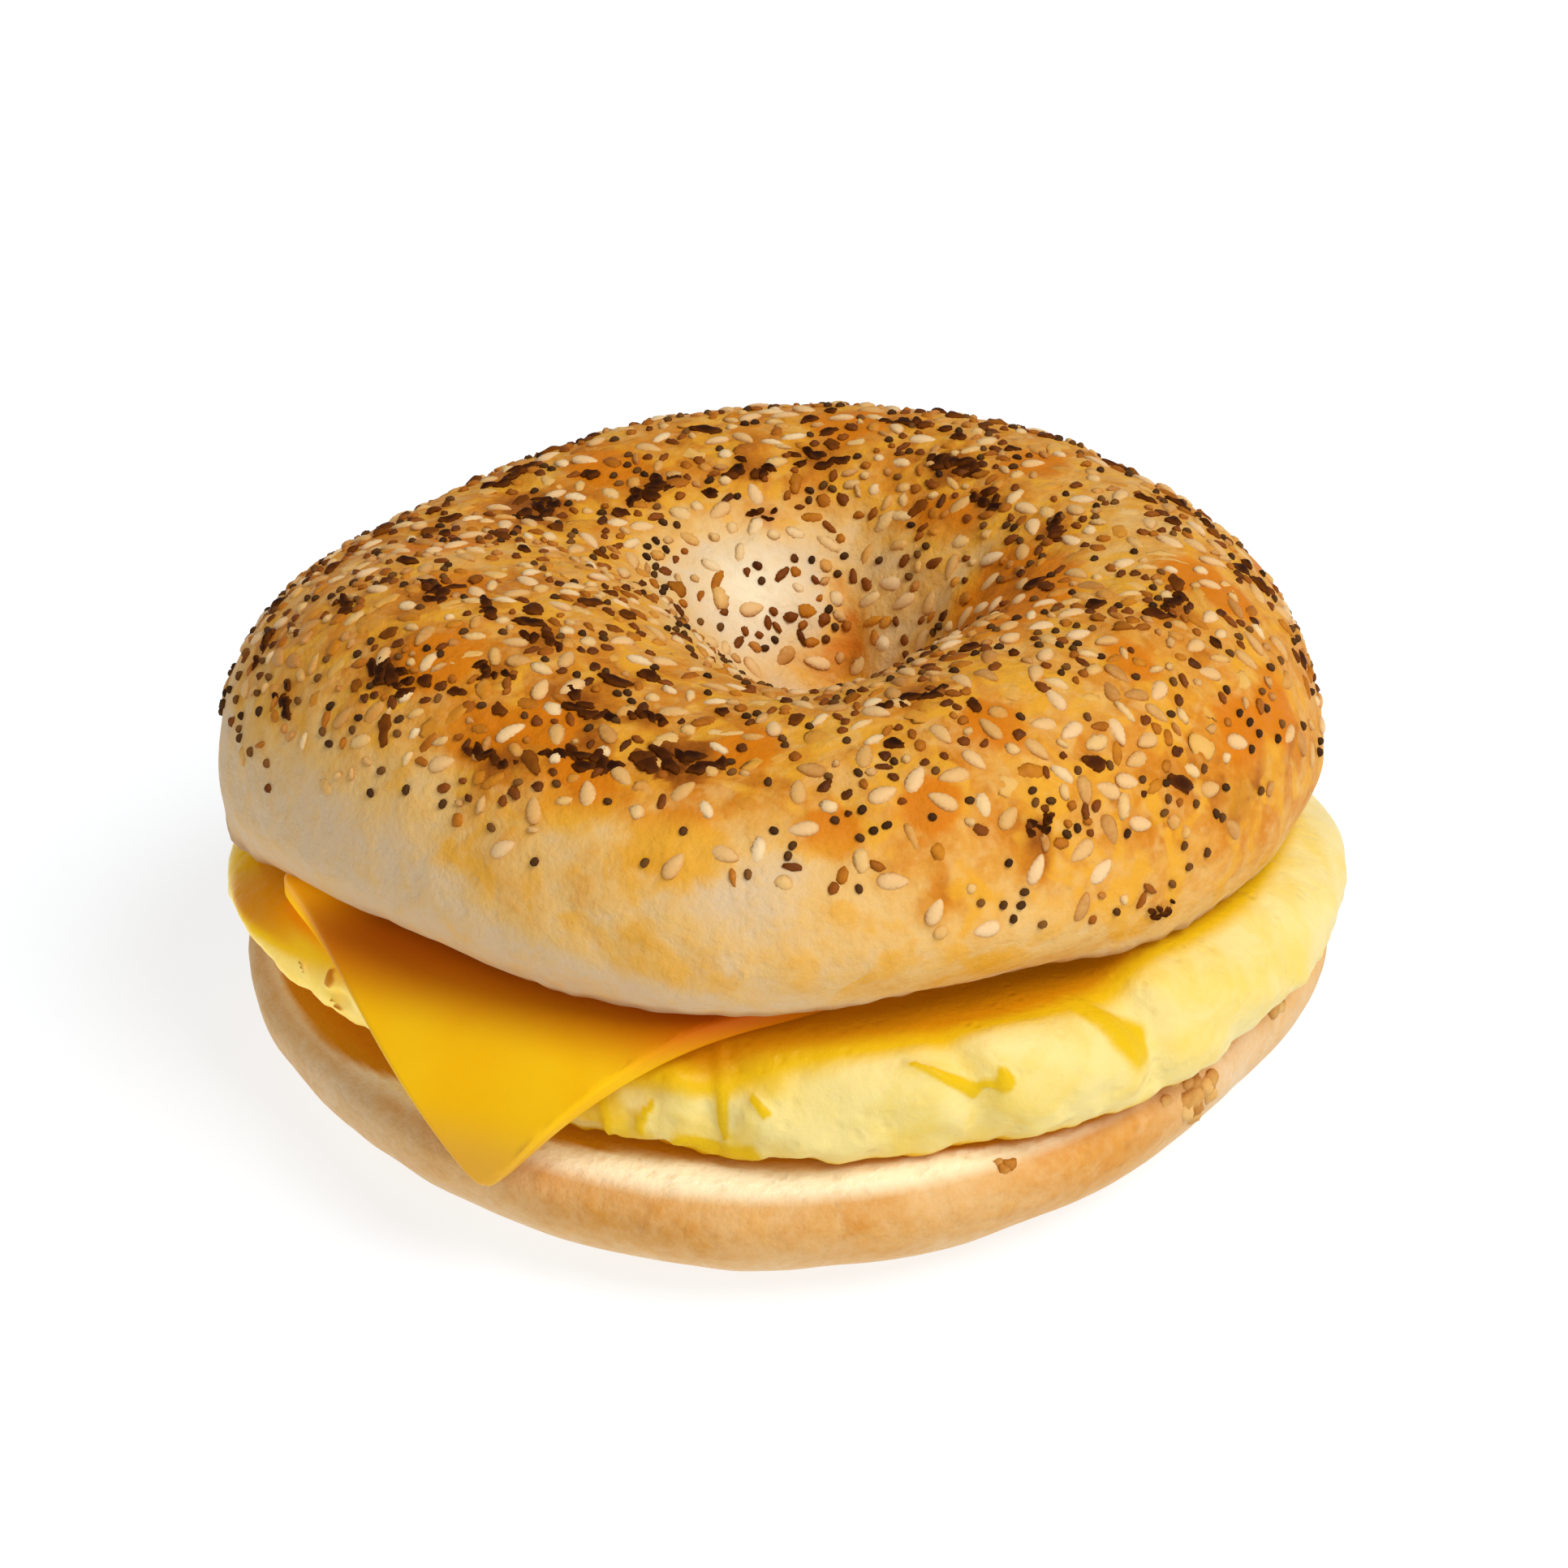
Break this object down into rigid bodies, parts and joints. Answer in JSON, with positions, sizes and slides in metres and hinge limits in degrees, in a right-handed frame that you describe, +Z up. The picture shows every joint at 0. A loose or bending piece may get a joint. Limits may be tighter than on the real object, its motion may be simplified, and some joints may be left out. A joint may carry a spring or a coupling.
{
  "type": "everything bagel sandwich",
  "caption": "Round seeded bagel cut in half and filled with cooked egg and a slice of cheese that droops over the front rim, served as a warm breakfast sandwich.",
  "frame": {"origin": "middle of the bottom of the bounding box, on the surface that the lower half stands on", "axes": "+Z up out of the upper half, +X to the right and -Y towards the viewer, with the hanging cheese corner at the front left"},
  "size_m": [0.1075, 0.1074, 0.0525],
  "materials": {
    "crust_bottom": "baked crust, matte",
    "egg": "cooked egg, moist",
    "cheese": "warm cheese, soft gloss",
    "crust_top": "baked crust, soft gloss"
  },
  "bodies": {
    "root": {"bagel_bottom": "crust_bottom", "egg_round": "egg", "cheese_slice": "cheese", "bagel_top": "crust_top"}
  },
  "joints": []
}
